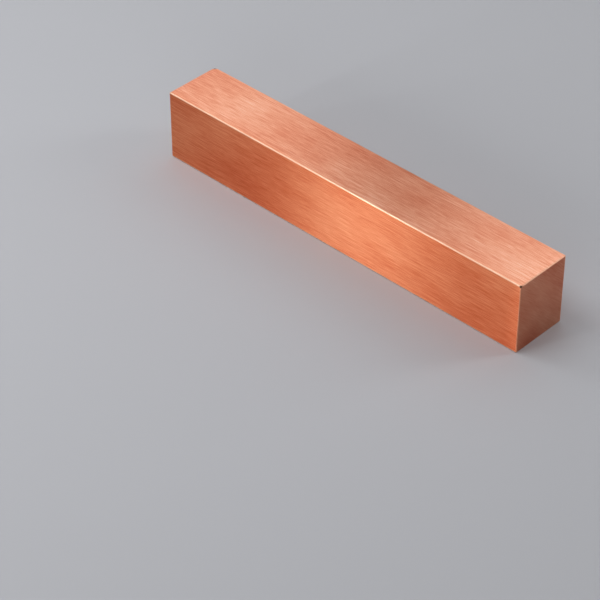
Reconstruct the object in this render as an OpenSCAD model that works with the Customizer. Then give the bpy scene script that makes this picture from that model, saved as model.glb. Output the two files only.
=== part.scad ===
// Copper ingot: one solid bar of oblong section, cut square to length.
// Its long edges are rounded over and its cut ends are chamfered, as when
// a bar has been dressed on a belt and deburred.
// X runs along the bar, Y across it and Z up, from the middle of the underside.

/* [Bar] */
// Length over the two cut ends, mm
bar_length = 175; // [60:1:400]
// Width of the section, mm
bar_width = 25; // [12:0.5:60]
// Height of the section, mm
bar_height = 30; // [12:0.5:72]

/* [Edges] */
// Radius of the four long edges, mm
long_edge_radius = 0.5; // [0.1:0.05:3]
// Chamfer round each cut end, measured along either face, mm
end_chamfer = 0.3; // [0.1:0.05:2]

/* [Hidden] */
copper = [0.80, 0.47, 0.34];
arc_steps = 48;

// The bar's section: an oblong with its corners rounded to long_edge_radius
module section_outline() {
    across = bar_width / 2 - long_edge_radius;
    up = bar_height / 2 - long_edge_radius;
    square([2 * across, bar_height], center = true);
    square([bar_width, 2 * up], center = true);
    for (y = [-across, across], z = [-up, up])
        translate([y, z]) circle(r = long_edge_radius, $fn = arc_steps);
}

// The bar seen from one side: its length by the given depth, with the corners cut off
module chamfered_outline(depth) {
    x = bar_length / 2;
    y = depth / 2;
    c = end_chamfer;
    polygon([
        [x, y - c], [x - c, y], [c - x, y], [-x, y - c],
        [-x, c - y], [c - x, -y], [x - c, -y], [x, c - y],
    ]);
}

// The drawn length, its section standing on the YZ plane and run along X
module drawn_bar() {
    rotate([90, 0, 90])
        linear_extrude(bar_length, center = true) section_outline();
}

// Everything inside the chamfers on the upper and lower edges of both ends
module trimmed_in_height() {
    rotate([90, 0, 0])
        linear_extrude(bar_width, center = true) chamfered_outline(bar_height);
}

// Everything inside the chamfers on the upright edges of both ends
module trimmed_in_width() {
    linear_extrude(bar_height, center = true) chamfered_outline(bar_width);
}

module ingot() {
    color(copper)
    translate([0, 0, bar_height / 2])
    intersection() {
        drawn_bar();
        trimmed_in_height();
        trimmed_in_width();
    }
}

ingot();
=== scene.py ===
# %% [markdown]
# # A copper ingot with a brushed finish
#
# The object is one oblong bar of copper, about as long as a hand. A saw cut it square to length, a belt
# drew fine strokes along its four long faces, and a finer disc smoothed its two ends. We load the
# measured solid first, because the bar takes its size from it and stays inside it.

# %% The measured solid
from math import cos, pi, radians, sin

import bpy
from mathutils import Matrix, Vector


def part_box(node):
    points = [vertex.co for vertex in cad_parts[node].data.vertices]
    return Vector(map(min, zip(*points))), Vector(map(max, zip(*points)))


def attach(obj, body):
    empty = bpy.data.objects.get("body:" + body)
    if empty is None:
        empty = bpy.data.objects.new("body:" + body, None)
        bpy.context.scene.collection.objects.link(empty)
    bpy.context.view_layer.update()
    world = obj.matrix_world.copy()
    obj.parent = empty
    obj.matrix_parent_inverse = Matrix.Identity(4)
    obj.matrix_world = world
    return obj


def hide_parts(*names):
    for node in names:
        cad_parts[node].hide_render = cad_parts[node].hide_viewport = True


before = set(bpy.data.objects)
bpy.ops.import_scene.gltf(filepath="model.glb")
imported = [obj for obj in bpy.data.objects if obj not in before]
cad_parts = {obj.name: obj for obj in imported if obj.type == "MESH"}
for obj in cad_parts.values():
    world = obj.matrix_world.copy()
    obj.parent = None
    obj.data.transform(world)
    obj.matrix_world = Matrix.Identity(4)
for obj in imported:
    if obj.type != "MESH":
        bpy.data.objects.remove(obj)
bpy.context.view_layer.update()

MM = 0.001
ingot_low, ingot_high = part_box("ingot")
LENGTH, WIDTH, HEIGHT = ingot_high - ingot_low
print(f"the ingot measures {LENGTH / MM:.1f} x {WIDTH / MM:.1f} x {HEIGHT / MM:.1f} mm")


def place_in_scene(name, data):
    """Puts data into the scene as an object that stays at the origin until it is moved."""
    made = bpy.data.objects.new(name, data)
    bpy.context.scene.collection.objects.link(made)
    return made


# %% [markdown]
# ## The camera
#
# The ingot is seen from above its front right corner, through a long lens, so its edges stay nearly
# parallel. A camera could be aimed with a constraint, but three turns show plainly how it stands: it
# leans up from looking straight down, swings round to its heading, and rolls a little on its own axis.

# %% Camera
EYE = Vector((0.4598, -0.5108, 0.5196))
LENS = 137.5
SENSOR = 36.0
LEAN = radians(51.27)
HEADING = radians(43.787)
ROLL = radians(-0.115)

camera_data = bpy.data.cameras.new("studio_camera")
camera_data.sensor_width = SENSOR
camera_data.lens = LENS
camera = place_in_scene("studio_camera", camera_data)
turned = Matrix.Rotation(HEADING, 3, "Z") @ Matrix.Rotation(LEAN, 3, "X") @ Matrix.Rotation(ROLL, 3, "Z")
camera.rotation_euler = turned.to_euler()
camera.location = EYE
bpy.context.scene.camera = camera
bpy.context.scene.view_settings.view_transform = "Standard"
print(f"the camera stands {(EYE - (ingot_low + ingot_high) / 2).length:.2f} m from the ingot")

# %% [markdown]
# ## Nodes that read like arithmetic
#
# Shapes and finishes below are written as node trees. Adding each Math node by hand makes a short formula
# long, so a small class carries a socket and turns plain signs such as + and * into nodes.

# %% Field helper


def feed(tree, socket, value):
    """Links a field to a socket, or sets a plain value on it."""
    if isinstance(value, Field):
        tree.links.new(value.socket, socket)
    else:
        socket.default_value = value


def add_node(tree, kind, inputs=None, **settings):
    """Adds a node, gives it its settings, and feeds its inputs by name or number."""
    made = tree.nodes.new(kind)
    for name, value in settings.items():
        setattr(made, name, value)
    for key, value in (inputs or {}).items():
        feed(tree, made.inputs[key], value)
    return made


class Field:
    """A number, vector or colour that flows through a node tree."""

    def __init__(self, tree, socket):
        self.tree = tree
        self.socket = socket

    def step(self, operation, *others):
        maths = add_node(self.tree, "ShaderNodeMath", operation=operation)
        for socket, value in zip(maths.inputs, (self, *others)):
            feed(self.tree, socket, value)
        return Field(self.tree, maths.outputs[0])

    def __add__(self, other):
        return self.step("ADD", other)

    def __sub__(self, other):
        return self.step("SUBTRACT", other)

    def __mul__(self, other):
        return self.step("MULTIPLY", other)

    def __truediv__(self, other):
        return self.step("DIVIDE", other)

    def __neg__(self):
        return self.step("MULTIPLY", -1.0)

    def at_least(self, other):
        return self.step("MAXIMUM", other)

    def at_most(self, other):
        return self.step("MINIMUM", other)

    def size(self):
        return self.step("ABSOLUTE")

    def sign(self):
        return self.step("SIGN")


print("node formulas are ready")

# %% Vectors, noise and group sockets
NOISE_MIDDLE = 0.5


def vector(tree, x, y, z):
    return Field(tree, add_node(tree, "ShaderNodeCombineXYZ", {0: x, 1: y, 2: z}).outputs[0])


def parts(field):
    split = add_node(field.tree, "ShaderNodeSeparateXYZ", {0: field})
    return [Field(field.tree, socket) for socket in split.outputs]


def noise(tree, where, detail=1.0, roughness=0.5):
    """Soft noise from 0 to 1, whose features are about one unit of the given vector across."""
    numbers = {"Vector": where, "Scale": 1.0, "Detail": detail, "Roughness": roughness}
    return Field(tree, add_node(tree, "ShaderNodeTexNoise", numbers).outputs[0])


def swing(field):
    """How far a noise stands above or below its middle."""
    return field - NOISE_MIDDLE


def add_sockets(group, names, kind, way="INPUT"):
    """Gives a node group one socket for each name."""
    for name in names:
        group.interface.new_socket(name=name, in_out=way, socket_type=kind)


print("noise swings about", NOISE_MIDDLE)

# %% [markdown]
# ## The floor and the room
#
# The ingot lies on a plain grey sweep in a studio whose light comes mostly from the left. A floor of one
# face is enough. The room is the world: brighter on the lamps' side and dimmer on the other, which, with
# the painted shade in the ends' tone, keeps the near end of the ingot dark.

# %% Floor
FLOOR_REACH = 4.0
FLOOR_DROP = 0.05 * MM
FLOOR_GREY = (0.52, 0.528, 0.560, 1.0)
FLOOR_ROUGHNESS = 0.85
FLOOR_SPECULAR = 0.15

floor_mesh = bpy.data.meshes.new("studio_floor")
floor_corners = [
    (side * FLOOR_REACH, depth * FLOOR_REACH, -FLOOR_DROP)
    for side, depth in ((-1, -1), (1, -1), (1, 1), (-1, 1))
]
floor_mesh.from_pydata(floor_corners, [], [(0, 1, 2, 3)])
floor = place_in_scene("studio_floor", floor_mesh)

floor_paint = bpy.data.materials.new("studio_grey")
floor_paint.use_nodes = True
floor_shader = floor_paint.node_tree.nodes["Principled BSDF"]
floor_shader.inputs["Base Color"].default_value = FLOOR_GREY
floor_shader.inputs["Roughness"].default_value = FLOOR_ROUGHNESS
floor_shader.inputs["Specular IOR Level"].default_value = FLOOR_SPECULAR
floor_mesh.materials.append(floor_paint)
print(f"the floor reaches {FLOOR_REACH:.0f} m each way")

# %% Room
ROOM_LEFT = 0.22
ROOM_RIGHT = 0.16
ROOM_WHITE = (1.0, 1.0, 1.0, 1.0)

room = bpy.data.worlds.new("studio_room")
room.use_nodes = True
bpy.context.scene.world = room
room_tree = room.node_tree
room_shader = room_tree.nodes["Background"]
looking = Field(room_tree, add_node(room_tree, "ShaderNodeTexCoord").outputs["Generated"])
to_right = parts(looking)[0]
room_level = to_right * ((ROOM_RIGHT - ROOM_LEFT) / 2) + (ROOM_RIGHT + ROOM_LEFT) / 2
feed(room_tree, room_shader.inputs["Strength"], room_level)
room_shader.inputs["Color"].default_value = ROOM_WHITE
print(f"the room goes from {ROOM_LEFT} on the left to {ROOM_RIGHT} on the right")

# %% [markdown]
# ## Soft boxes
#
# Brushed metal shows its lamps as long soft glows across the strokes. A stroke sends light round in a
# ring about the bar's axis, so each soft box is placed on such a ring: by its stretch along the bar, and
# by the angle round it, from the back over the top to the front. The low boxes in front hang on wider
# rings, or the floor at their feet would glare. A box's power comes from how bright it should look.

# %% Soft boxes
RING = 0.56
STRIP_RING = 0.70
FAR_RING = 1.00
ALONG_BAR = Vector((1.0, 0.0, 0.0))


def soft_box(name, stretch, angles, brightness, ring=RING):
    """Hangs an area lamp on a ring, facing the bar's axis. The angles are in degrees."""
    middle = radians(sum(angles) / 2)
    outward = Vector((0.0, cos(middle), sin(middle)))
    lamp = bpy.data.lights.new(name, "AREA")
    lamp.shape = "RECTANGLE"
    lamp.size = stretch[1] - stretch[0]
    lamp.size_y = 2 * ring * sin(radians(angles[1] - angles[0]) / 2)
    lamp.energy = brightness * pi * lamp.size * lamp.size_y
    box = place_in_scene(name, lamp)
    box.location = outward * ring + Vector((sum(stretch) / 2, 0.0, HEIGHT / 2))
    box.rotation_euler = Matrix((ALONG_BAR, outward.cross(ALONG_BAR), outward)).transposed().to_euler()
    box.visible_camera = False
    print(f"{name} gives {lamp.energy:.2f} W")


soft_box("back_left_box", stretch=(-0.85, -0.375), angles=(30, 85), brightness=0.69)
soft_box("back_box", stretch=(-0.285, 0.05), angles=(30, 85), brightness=0.89)
soft_box("back_right_strip", stretch=(0.30, 0.48), angles=(8, 56), brightness=4.2)
soft_box("front_strip", stretch=(-0.434, -0.397), angles=(152, 180), brightness=22.6, ring=STRIP_RING)
soft_box("front_end_strip", stretch=(-0.194, -0.157), angles=(152, 180), brightness=26.5, ring=STRIP_RING)
soft_box("edge_box", stretch=(-0.75, -0.36), angles=(96, 124), brightness=3.8)
soft_box("right_edge_box", stretch=(-0.29, 0.05), angles=(96, 124), brightness=2.8)
soft_box("camera_side_box", stretch=(0.23, 1.75), angles=(150, 180), brightness=2.75, ring=FAR_RING)

# %% [markdown]
# ## Brush strokes
#
# A belt leaves thousands of fine scratches that run along the bar. Noise stretched along the stroke
# stands for them in four layers: fine strokes, broader bands, a few deeper scores, and slow patches of
# paler and deeper copper. On the long faces the patches are placed so that they come out lighter and
# paler where the lamps' glows fall, which is painted sheen. They are one node group, because the long
# faces and the ends share them with different sizes.

# %% Brush stroke group
STROKE_SIZES = ("Stroke Length", "Stroke Width", "Wander", "Patch Size")
STROKE_LAYERS = ("Grain", "Band", "Score", "Patch And Sheen")

strokes = bpy.data.node_groups.new("brush_strokes", "ShaderNodeTree")
add_sockets(strokes, ("Place",), "NodeSocketVector")
add_sockets(strokes, STROKE_SIZES, "NodeSocketFloat")
add_sockets(strokes, STROKE_LAYERS, "NodeSocketFloat", way="OUTPUT")

strokes_in = add_node(strokes, "NodeGroupInput")
along, across, rise = parts(Field(strokes, strokes_in.outputs["Place"]))
given_sizes = [Field(strokes, strokes_in.outputs[name]) for name in STROKE_SIZES]
stroke_length, stroke_width, wander, patch_size = given_sizes

drift_place = vector(strokes, along / patch_size, across / patch_size, rise / patch_size)
drift = swing(noise(strokes, drift_place)) * wander
across = across + drift
rise = rise + drift
print("the brush stroke group takes", ", ".join(STROKE_SIZES))

# %% [markdown]
# ### The four layers
#
# Each layer reads a different stretch of the endless noise, so no layer repeats another. A score is only
# the highest part of its noise, cut off low and steepened, which leaves a few thin lines.

# %% Stroke layers
GRAIN_STRETCH = {"longer": 1.0, "wider": 1.0, "shift": 0.0}
BAND_STRETCH = {"longer": 2.5, "wider": 2.6, "shift": 31.0}
SCORE_STRETCH = {"longer": 0.5, "wider": 0.5, "shift": 57.0}
SCORE_LEVEL = 0.68
SCORE_STEEPNESS = 9.0
# The patch's stretch and shift are set so that on the long faces its paler parts lie under the lamps'
# glows: painted sheen.
PAINTED_SHEEN_STRETCH = (1.5, 0.75, 0.75)
PAINTED_SHEEN_SHIFT = (23.0, 5.0, 53.0)


def stretched(longer, wider, shift):
    """The place, measured in strokes that are so much longer and wider, on a fresh stretch of noise."""
    wide = stroke_width * wider
    return vector(strokes, along / (stroke_length * longer) + shift, across / wide, rise / wide)


grain = noise(strokes, stretched(**GRAIN_STRETCH), detail=2.0, roughness=1.0)
band = noise(strokes, stretched(**BAND_STRETCH))
score_line = noise(strokes, stretched(**SCORE_STRETCH))
score = ((score_line - SCORE_LEVEL) * SCORE_STEEPNESS).at_least(0.0).at_most(1.0)
patch_and_sheen_place = [
    place / (patch_size * longer) + shift
    for place, longer, shift in zip((along, across, rise), PAINTED_SHEEN_STRETCH, PAINTED_SHEEN_SHIFT)
]
patch_and_sheen = noise(strokes, vector(strokes, *patch_and_sheen_place), detail=2.0)

add_node(strokes, "NodeGroupOutput", dict(zip(STROKE_LAYERS, (grain, band, score, patch_and_sheen))))
print("the group gives", ", ".join(STROKE_LAYERS))

# %% [markdown]
# ## Worked copper
#
# Light that bounces twice inside a scratch picks up copper's colour twice, so a dark stroke on real
# copper is redder as well as dimmer. Raising one shade to a different power for red, green and blue gives
# just that. Rubbed edges are burnished pale, and a knocked corner holds dark oxide. Both finishes need
# all of this, so it is a second group, which takes the stroke layers in and gives out a colour, a
# roughness and a height.

# %% Worked copper group
WORKED_TONES = ("Lit Top Tone", "Shaded Side Tone")
WORKED_MARKS = ("Side Shade Mask", "Edge Polish", "Nick")
WORKED_NUMBERS = ("Contrast", "Base Roughness")

worked = bpy.data.node_groups.new("worked_copper", "ShaderNodeTree")
add_sockets(worked, WORKED_TONES, "NodeSocketColor")
add_sockets(worked, STROKE_LAYERS + WORKED_MARKS + WORKED_NUMBERS, "NodeSocketFloat")
add_sockets(worked, ("Colour",), "NodeSocketColor", way="OUTPUT")
add_sockets(worked, ("Roughness", "Height"), "NodeSocketFloat", way="OUTPUT")

worked_in = add_node(worked, "NodeGroupInput")
given = {socket.name: Field(worked, socket) for socket in worked_in.outputs if socket.name}
print("the worked copper group takes", ", ".join(given))

# %% Worked copper colour
BURNISHED_COPPER = (0.95, 0.670, 0.470, 1.0)
NICK_OXIDE = (0.15, 0.070, 0.045, 1.0)
SHADE_POWERS = (0.65, 2.0, 2.6)
GRAIN_SHADE = 1.1
BAND_SHADE = 0.13
SCORE_SHADE = 0.05
PATCH_AND_PAINTED_SHEEN = 0.62
TOP_DEPTH = 1.1
MIX_COLOURS = (6, 7)
MIX_RESULT = 2


def mix_colour(tree, amount, first, second, blend="MIX"):
    """Mixes two colours. A Mix node has sockets for each kind of data, and the colours come third."""
    settings = {"data_type": "RGBA", "blend_type": blend, "clamp_factor": True}
    mixer = add_node(tree, "ShaderNodeMix", {0: amount}, **settings)
    for number, colour in zip(MIX_COLOURS, (first, second)):
        feed(tree, mixer.inputs[number], colour)
    return Field(tree, mixer.outputs[MIX_RESULT])


stroke_depth = given["Side Shade Mask"] * (1.0 - TOP_DEPTH) + TOP_DEPTH
stroke_shade = swing(given["Grain"]) * stroke_depth * GRAIN_SHADE + swing(given["Band"]) * BAND_SHADE
stroke_shade = (stroke_shade - given["Score"] * SCORE_SHADE) * given["Contrast"]
# The patch term lightens and pales the copper where the lamps' glows fall on the long faces, which is
# painted sheen.
shade = stroke_shade + swing(given["Patch And Sheen"]) * PATCH_AND_PAINTED_SHEEN + 1.0
deeper = vector(worked, *[shade.step("POWER", power) for power in SHADE_POWERS])
# The front and back take the darker, more orange side tone, painted shade and a painted warm reflection;
# the top keeps the paler, lit tone.
tone = mix_colour(worked, given["Side Shade Mask"], given["Lit Top Tone"], given["Shaded Side Tone"])
tone = mix_colour(worked, 1.0, tone, deeper, blend="MULTIPLY")
tone = mix_colour(worked, given["Edge Polish"], tone, BURNISHED_COPPER)
tone = mix_colour(worked, given["Nick"], tone, NICK_OXIDE)
print("shade acts on red, green and blue by the powers", SHADE_POWERS)

# %% Worked copper surface
GRAIN_ROUGHNESS = 0.04
PATCH_ROUGHNESS = 0.06
POLISH_GLOSS = 0.10
BAND_HEIGHT = 1.5
SCORE_HEIGHT = 0.5

matt = swing(given["Grain"]) * GRAIN_ROUGHNESS + swing(given["Patch And Sheen"]) * PATCH_ROUGHNESS
matt = matt - given["Edge Polish"] * POLISH_GLOSS + given["Base Roughness"]
height = given["Grain"] + given["Band"] * BAND_HEIGHT - given["Score"] * SCORE_HEIGHT
add_node(worked, "NodeGroupOutput", {"Colour": tone, "Roughness": matt, "Height": height})
print("edges are smoother than faces by", POLISH_GLOSS)

# %% [markdown]
# ## The two finishes
#
# Copper's own colour comes from its reflection, so both finishes are fully metallic. The strokes spread a
# reflection across themselves and hardly along, which the shader calls anisotropy, and it needs a
# direction: the tangent of the bar's own map, whose first axis runs along the stroke. The top and bottom
# get a paler copper, and the front and back a darker, more orange one, which is painted shade and a
# painted warm reflection. The ends, cut across the bar's grain, get the darkest tone, partly for a duller
# finish and partly as painted shade.

# %% Copper finishes
BRUSH_MAP = "OFBake"


def attribute(tree, name):
    return Field(tree, add_node(tree, "ShaderNodeAttribute", attribute_name=name).outputs["Fac"])


def copper_finish(name, turn, sizes, tones, contrast, roughness, anisotropy, lobe_turn, relief):
    """A brushed copper. Its strokes lie along X until turned, and relief is their depth."""
    finish = bpy.data.materials.new(name)
    finish.use_nodes = True
    tree = finish.node_tree
    shader = tree.nodes["Principled BSDF"]
    object_place = Field(tree, add_node(tree, "ShaderNodeTexCoord").outputs["Object"])
    turned_place = add_node(tree, "ShaderNodeMapping", {"Vector": object_place, "Rotation": turn})
    brush = add_node(tree, "ShaderNodeGroup", node_tree=strokes)
    feed(tree, brush.inputs["Place"], Field(tree, turned_place.outputs[0]))
    for size, value in sizes.items():
        brush.inputs[size].default_value = value

    copper = add_node(tree, "ShaderNodeGroup", node_tree=worked)
    values = {layer: Field(tree, brush.outputs[layer]) for layer in STROKE_LAYERS}
    values.update({mark: attribute(tree, mark.lower().replace(" ", "_")) for mark in WORKED_MARKS})
    values.update(zip(WORKED_TONES, tones))
    values.update(zip(WORKED_NUMBERS, (contrast, roughness)))
    for key, value in values.items():
        feed(tree, copper.inputs[key], value)

    raised = {"Strength": 1.0, "Distance": relief, "Height": Field(tree, copper.outputs["Height"])}
    bump = add_node(tree, "ShaderNodeBump", raised)
    tangent = add_node(tree, "ShaderNodeTangent", direction_type="UV_MAP", uv_map=BRUSH_MAP)
    tree.links.new(copper.outputs["Colour"], shader.inputs["Base Color"])
    tree.links.new(copper.outputs["Roughness"], shader.inputs["Roughness"])
    tree.links.new(bump.outputs[0], shader.inputs["Normal"])
    tree.links.new(tangent.outputs[0], shader.inputs["Tangent"])
    shader.inputs["Metallic"].default_value = 1.0
    shader.inputs["Anisotropic"].default_value = anisotropy
    shader.inputs["Anisotropic Rotation"].default_value = lobe_turn
    return finish


print("the strokes follow the map", BRUSH_MAP)

# %% Long faces and ends
# The top's paler tone and the sides' darker, more orange tone are a lit and a shaded copy of one copper:
# painted shade and a painted warm reflection on the sides.
TOP_LIT_COPPER = (0.89, 0.372, 0.231, 1.0)
SIDE_SHADED_COPPER = (0.77, 0.222, 0.099, 1.0)
# The ends' tone is darker partly for their duller finish and partly as painted shade.
DULL_AND_SHADED_COPPER = (0.65, 0.222, 0.117, 1.0)
BELT_SIZES = dict(zip(STROKE_SIZES, (11 * MM, 0.25 * MM, 0.15 * MM, 32 * MM)))
DISC_SIZES = dict(zip(STROKE_SIZES, (9 * MM, 0.5 * MM, 0.2 * MM, 14 * MM)))
QUARTER_TURN = 0.25

side_finish = copper_finish(
    "belt_brushed_copper",
    turn=(0.0, 0.0, 0.0),
    sizes=BELT_SIZES,
    tones=(TOP_LIT_COPPER, SIDE_SHADED_COPPER),
    contrast=1.0,
    roughness=0.40,
    anisotropy=1.0,
    lobe_turn=QUARTER_TURN,
    relief=0.004 * MM,
)
end_finish = copper_finish(
    "disc_smoothed_copper",
    turn=(0.0, radians(90), radians(45)),
    sizes=DISC_SIZES,
    tones=(DULL_AND_SHADED_COPPER, DULL_AND_SHADED_COPPER),
    contrast=0.4,
    roughness=0.34,
    anisotropy=0.5,
    lobe_turn=QUARTER_TURN / 2,
    relief=0.002 * MM,
)
print("made", side_finish.name, "and", end_finish.name)

# %% [markdown]
# ## The bar
#
# The bar's shape follows a rule: an oblong section with rounded long edges, run along a line and
# chamfered at both ends. Geometry Nodes suit that. A box primitive gives a closed mesh of squares on all
# six faces, and one formula moves each point to where the worked bar has it.

# %% Bar inputs
BAR_NUMBERS = {
    "Length": LENGTH,
    "Width": WIDTH,
    "Height": HEIGHT,
    "Edge Radius": 0.5 * MM,
    "End Chamfer": 0.3 * MM,
    "Edge Wander": 0.2,
    "Roll Off": 0.08 * MM,
    "Roll Reach": 8.0 * MM,
    "Ripple": 0.05 * MM,
}
BAR_FINISHES = {"Long Face Finish": side_finish, "End Finish": end_finish}

bar = bpy.data.node_groups.new("belt_dressed_bar", "GeometryNodeTree")
add_sockets(bar, BAR_NUMBERS, "NodeSocketFloat")
add_sockets(bar, BAR_FINISHES, "NodeSocketMaterial")
add_sockets(bar, ("Bar",), "NodeSocketGeometry", way="OUTPUT")
bar_in = add_node(bar, "NodeGroupInput")
bar_number = {number: Field(bar, bar_in.outputs[number]) for number in BAR_NUMBERS}
half_x, half_y, half_z = [bar_number[n] * 0.5 for n in ("Length", "Width", "Height")]
print("the bar's tree takes", ", ".join(BAR_NUMBERS))

# %% [markdown]
# ### Points crowded to the edges
#
# Flat faces need few points and edges need many. A sine draws an even row of points towards both of its
# ends, so the primitive's even rows are passed through one.

# %% Crowded blank
RINGS = 361
WIDTH_STEPS = 37
HEIGHT_STEPS = 41

blank_size = vector(bar, bar_number["Length"], bar_number["Width"], bar_number["Height"])
blank_counts = {"Vertices X": RINGS, "Vertices Y": WIDTH_STEPS, "Vertices Z": HEIGHT_STEPS}
blank = add_node(bar, "GeometryNodeMeshCube", {"Size": blank_size, **blank_counts})


def crowd(place, half):
    return (place / half * (pi / 2)).step("SINE") * half


even = parts(Field(bar, add_node(bar, "GeometryNodeInputPosition").outputs[0]))
x, y, z = [crowd(place, half) for place, half in zip(even, (half_x, half_y, half_z))]
print("the blank has", RINGS, "rings of", 2 * (WIDTH_STEPS + HEIGHT_STEPS - 2), "points")

# %% [markdown]
# ### Distance to the nearest edge
#
# Each point lies on one face, so of its three distances to the box's faces the smallest is nothing, and the
# middle one is how far the nearest edge is. Roll-off and edge polish both follow it.

# %% Edge distance
to_end = half_x - x.size()
to_side = half_y - y.size()
to_top = half_z - z.size()
nearer = to_end.at_most(to_side)
farther = to_end.at_least(to_side)
to_edge = nearer.at_least(farther.at_most(to_top))


def fading(distance, span):
    """One at no distance, falling evenly to nothing at the end of the span, and negative beyond it."""
    return -(distance / span) + 1.0


roll = fading(to_edge, bar_number["Roll Reach"]).at_least(0.0)
print("edge distance is a field on", bar.name)

# %% [markdown]
# ### Rounded edges and chamfered ends
#
# A point near a long edge is pulled back onto a circle about the edge's inner line, and a point near an end
# onto a 45 degree slope. Real deburring isn't even, so a slow noise lets both sizes wander along the edge.

# %% Rounds and chamfers
EDGE_NOISE = 9 * MM

edge_noise = swing(noise(bar, vector(bar, x / EDGE_NOISE, y / EDGE_NOISE, z / EDGE_NOISE), detail=2.0))
wear = edge_noise * 2.0 * bar_number["Edge Wander"] + 1.0
radius = bar_number["Edge Radius"] * wear
chamfer = bar_number["End Chamfer"] * wear


def held_within(place, limit):
    return place.at_least(-limit).at_most(limit)


inner_y = held_within(y, half_y - radius)
inner_z = held_within(z, half_z - radius)
out_y = y - inner_y
out_z = z - inner_z
reach = (out_y * out_y + out_z * out_z).step("SQRT")
depth = reach.at_most(radius)

rim = (depth - radius + chamfer).at_least(0.0)
cap = (x.size() - half_x + chamfer).at_least(0.0)
trim = chamfer / (rim + cap).at_least(chamfer)
depth = depth - rim + rim * trim
run = x.size() - cap + cap * trim
print("edges and ends are shaped")

# %% [markdown]
# ### Roll-off and ripple
#
# A soft belt takes a little more off next to an edge, and leaves the faces very slightly rippled. Both are
# hundredths of a millimetre, yet they bend the reflections. They only ever sink into the bar.

# %% Roll-off and ripple
RIPPLE_LONG = 26 * MM
RIPPLE_WIDE = 9 * MM

ripple = noise(bar, vector(bar, x / RIPPLE_LONG, y / RIPPLE_WIDE, z / RIPPLE_WIDE))
sink = ripple * bar_number["Ripple"] + roll * roll * bar_number["Roll Off"]
on_long_face = depth / radius
depth = depth - sink * on_long_face
run = run - sink * (cap / chamfer)
shaped_x = x.sign() * run
shaped_y = inner_y + out_y / reach * depth
shaped_z = inner_z + out_z / reach * depth + half_z
print("faces are rippled by up to", BAR_NUMBERS["Ripple"] / MM, "mm")

# %% [markdown]
# ### Nicked corners
#
# Two corners took a knock when the bar was set down, and dark oxide stays in such a dent. Each nick
# pushes the points around its corner inwards, most at the corner itself, and leaves a mark for the finish
# to darken.

# %% Nicks
NICKS = {"front right": ((1, -1, 1), 1.05 * MM), "back left": ((-1, 1, 1), 2.0 * MM)}
NICK_DEPTH = 0.3 * MM
NICK_DARKNESS = 3.0

dents = []
for corner, nick_reach in NICKS.values():
    away = [place - half * way for place, half, way in zip((x, y, z), (half_x, half_y, half_z), corner)]
    gap = (away[0] * away[0] + away[1] * away[1] + away[2] * away[2]).step("SQRT")
    dent = (-(gap / nick_reach + edge_noise) + 1.0).at_least(0.0)
    dents.append(dent)
    shaped_x = shaped_x - dent * (NICK_DEPTH * corner[0])
    shaped_y = shaped_y - dent * (NICK_DEPTH * corner[1])
    shaped_z = shaped_z - dent * (NICK_DEPTH * corner[2])
nick = sum(dents[1:], dents[0]) * NICK_DARKNESS
print("nicked corners:", ", ".join(NICKS))

# %% [markdown]
# ### The brushing map
#
# The strokes need a direction on every face, and a bake needs room for every face, so the six faces are
# laid out flat side by side like an unfolded carton. On the long faces the first axis runs along the bar.

# %% Brushing map
MAP_GAP = 2 * MM
MAP_MARGIN = 1.02

face_normal = add_node(bar, "GeometryNodeFieldOnDomain", data_type="FLOAT_VECTOR", domain="FACE")
bar.links.new(add_node(bar, "GeometryNodeInputNormal").outputs["Normal"], face_normal.inputs[0])
normal_x, normal_y, normal_z = parts(Field(bar, face_normal.outputs[0]))
is_end = normal_x.size()
side_row = half_z + 0.5 * MAP_GAP
top_row = half_z * 2.0 + half_y + 1.5 * MAP_GAP
end_row = top_row + half_y + half_z + MAP_GAP
end_column = half_y + MAP_GAP
map_u = x * (-is_end + 1.0) + normal_x * (y + end_column)
map_v = normal_z * (y + top_row) - normal_y * (z - side_row) + is_end * (z + end_row)
sheet = bar_number["Length"] * MAP_MARGIN
map_place = vector(bar, map_u / sheet + 0.5, (map_v + top_row + half_y + MAP_GAP) / sheet, 0.0)
print("the six faces are unfolded on", BRUSH_MAP)

# %% [markdown]
# ### Marks for the finishes
#
# The finishes have to know where the bar is rubbed or knocked, and which faces take the painted shade of
# the sides. The blank still has its plain box shape here, so it is the easiest place to tell. Each mark is
# kept on the mesh as an attribute, and the finishes read it by its name.

# %% Marks for the finishes
POLISH_REACH = 0.7 * MM
END_POLISH = 0.4

long_polish = fading(to_side.at_least(to_top), POLISH_REACH)
end_polish = fading(to_edge, POLISH_REACH) * END_POLISH
polish = long_polish.at_least(end_polish).at_least(0.0)
# The front and back are marked to take the shaded side tone, which is painted shade and a painted warm
# reflection.
shaded_side_mark = normal_y.size() + is_end * to_top.step("GREATER_THAN", to_side)
on_end = is_end * to_edge.step("GREATER_THAN", bar_number["End Chamfer"])


def keep_attribute(shape, name, value, kind, domain):
    kept = add_node(bar, "GeometryNodeStoreNamedAttribute", {"Name": name}, data_type=kind, domain=domain)
    bar.links.new(shape, kept.inputs["Geometry"])
    feed(bar, kept.inputs["Value"], value)
    return kept.outputs["Geometry"]


shape = keep_attribute(blank.outputs["Mesh"], BRUSH_MAP, map_place, "FLOAT2", "CORNER")
shape = keep_attribute(shape, "edge_polish", polish, "FLOAT", "POINT")
shape = keep_attribute(shape, "nick", nick, "FLOAT", "POINT")
shape = keep_attribute(shape, "side_shade_mask", shaded_side_mark, "FLOAT", "FACE")
shape = keep_attribute(shape, "end_face", on_end, "FLOAT", "FACE")
print("polish reaches", POLISH_REACH / MM, "mm in from an edge")

# %% [markdown]
# ### The nodes in a row
#
# Now the blank's points move to their worked places, and the two finishes go on: the long faces' finish on
# everything first, then the ends' finish on the faces that are marked as ends.

# %% Bar nodes in a row
ON = 0.5


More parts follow.
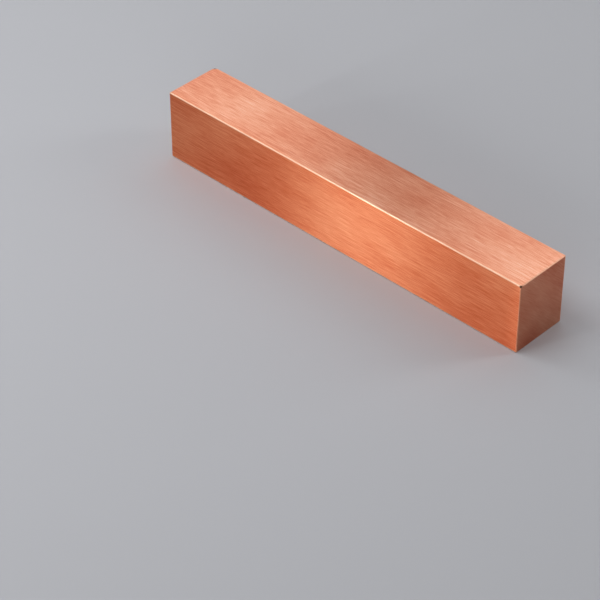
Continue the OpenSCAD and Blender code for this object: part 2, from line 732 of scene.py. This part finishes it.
def then(shape, kind, inputs=None, result=0):
    """Passes the shape through one more node."""
    made = add_node(bar, kind, inputs)
    bar.links.new(shape, made.inputs["Geometry"])
    return made.outputs[result]


shape = then(shape, "GeometryNodeSetPosition", {"Position": vector(bar, shaped_x, shaped_y, shaped_z)})
shape = then(shape, "GeometryNodeSetShadeSmooth")
shape = then(shape, "GeometryNodeRealizeInstances")
end_mark = add_node(bar, "GeometryNodeInputNamedAttribute", {"Name": "end_face"}, data_type="FLOAT")
marked_end = Field(bar, end_mark.outputs[0]).step("GREATER_THAN", ON)
long_face_finish, end_face_finish = [Field(bar, bar_in.outputs[name]) for name in BAR_FINISHES]
shape = then(shape, "GeometryNodeSetMaterial", {"Material": long_face_finish})
shape = then(shape, "GeometryNodeSetMaterial", {"Selection": marked_end, "Material": end_face_finish})
bar.links.new(shape, add_node(bar, "NodeGroupOutput").inputs["Bar"])
print("long faces and ends have their own finishes")

# %% [markdown]
# ## The finished ingot
#
# The tree hangs on a carrier object while it is evaluated. What it makes is copied to a plain mesh, which
# becomes the ingot, stands in for the measured solid, and belongs to the one body there is. The primitive
# brings an empty material slot of its own, which is dropped.

# %% Plain mesh
EMPTY_SLOT = 0

carrier = place_in_scene("bar_carrier", bpy.data.meshes.new("bar_carrier"))
maker = carrier.modifiers.new("belt_dressed_bar", "NODES")
maker.node_group = bar
identifiers = {item.name: item.identifier for item in bar.interface.items_tree if item.in_out == "INPUT"}
for name, value in {**BAR_NUMBERS, **BAR_FINISHES}.items():
    maker[identifiers[name]] = value

evaluated = carrier.evaluated_get(bpy.context.evaluated_depsgraph_get())
ingot_mesh = bpy.data.meshes.new_from_object(evaluated)
ingot_mesh.name = "copper_ingot"
carrier.modifiers.remove(maker)
bpy.data.objects.remove(carrier)
ingot = place_in_scene("copper_ingot", ingot_mesh)
ingot_mesh.materials.pop(index=EMPTY_SLOT)
worn = {ingot_mesh.materials[face.material_index].name for face in ingot_mesh.polygons}
print("the ingot has", len(ingot_mesh.polygons), "faces, finished in", " and ".join(sorted(worn)))

# %% Into the frame
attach(ingot, "root")
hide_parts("ingot")
print("the ingot takes the measured solid's place")
